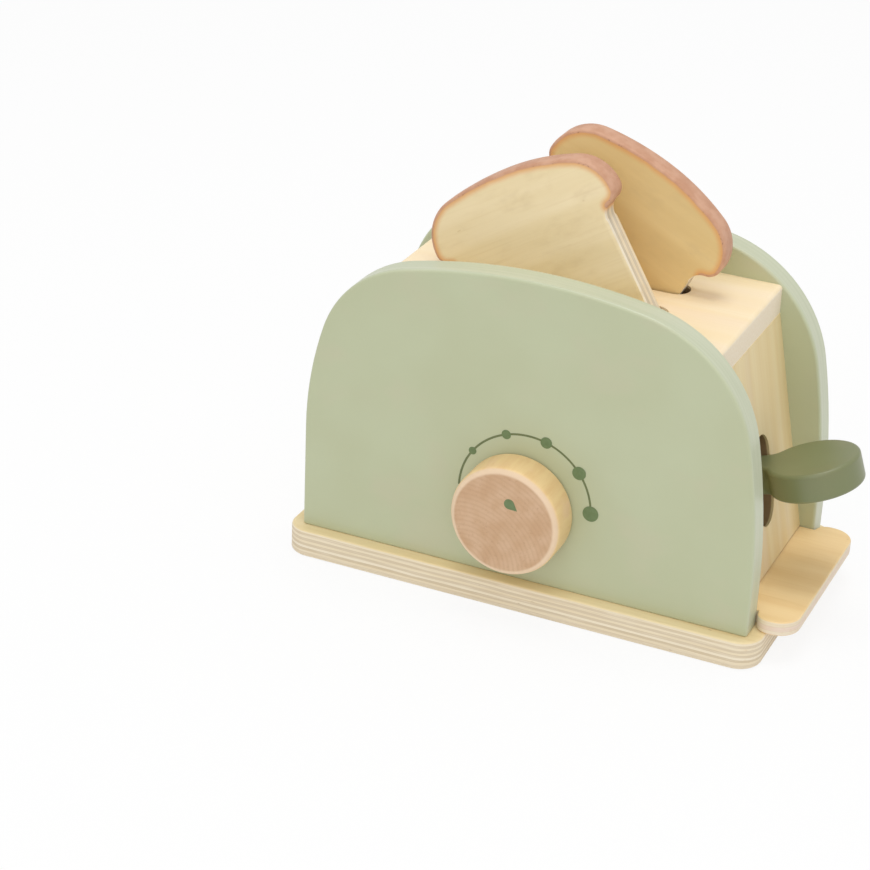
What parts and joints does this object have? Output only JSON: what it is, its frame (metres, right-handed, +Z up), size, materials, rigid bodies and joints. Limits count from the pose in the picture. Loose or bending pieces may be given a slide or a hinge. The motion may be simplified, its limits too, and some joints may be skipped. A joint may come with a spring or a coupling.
{
  "type": "toy toaster",
  "caption": "Wooden pretend-play toaster with arched painted panels, two slots with play bread, see-saw lever, turning dial knob and pull-out crumb tray",
  "frame": {"origin": "centre of the base board's underside", "axes": "+X towards the lever and the tray's grip, +Y to the back, +Z up"},
  "size_m": [0.2267, 0.1222, 0.184],
  "materials": {
    "sage_painted_wood": "satin paint",
    "green_painted_wood": "satin paint",
    "birch_plywood": "clear matt",
    "beech": "clear matt",
    "toast_wood": "clear matt with painted crust",
    "zinc_steel": "zinc plated"
  },
  "bodies": {
    "housing": {"base_board": "birch_plywood", "front_panel": "sage_painted_wood", "rear_panel": "sage_painted_wood", "top_board": "birch_plywood", "left_side_board": "birch_plywood", "right_side_board": "birch_plywood", "front_guide_strips": "beech", "rear_guide_strips": "beech", "slot_divider": "birch_plywood", "lever_pivot_dowel": "beech", "lever_stop_dowel": "beech", "lever_spacer_front": "beech", "lever_spacer_rear": "beech", "front_panel_dowels": "beech", "rear_panel_dowels": "beech", "base_screws": "zinc_steel"},
    "lever": {"lever": "green_painted_wood"},
    "lift": {"lift_shelf": "birch_plywood", "lift_post": "beech"},
    "tray": {"crumb_tray": "birch_plywood"},
    "knob": {"dial_knob": "beech", "knob_axle": "beech", "knob_collar": "beech"},
    "slice_front": {"bread_slice_front": "toast_wood"},
    "slice_rear": {"bread_slice_rear": "toast_wood"}
  },
  "joints": [
    {"name": "lever_press", "type": "hinge", "parent": "housing", "child": "lever", "pos_m": [0.04, 0, 0.0434], "axis": [0, 1, 0], "range_deg": [0, 14]},
    {"name": "shelf_lift", "type": "slide", "parent": "housing", "child": "lift", "axis": [0, 0, 1], "range_m": [0, 0.0091]},
    {"name": "tray_slide", "type": "slide", "parent": "housing", "child": "tray", "axis": [1, 0, 0], "range_m": [0, 0.17]},
    {"name": "knob_turn", "type": "hinge", "parent": "housing", "child": "knob", "pos_m": [-0.0012, -0.05, 0.0447], "axis": [0, 1, 0], "continuous": true},
    {"name": "slice_front_lift", "type": "slide", "parent": "housing", "child": "slice_front", "axis": [-0.512, 0, 0.859], "range_m": [0, 0.06]},
    {"name": "slice_rear_lift", "type": "slide", "parent": "housing", "child": "slice_rear", "axis": [0.4587, 0, 0.8886], "range_m": [0, 0.06]}
  ],
  "couplings": [
    {"joint": "shelf_lift", "follows": "lever_press", "m_per_rad": 0.03716}
  ]
}
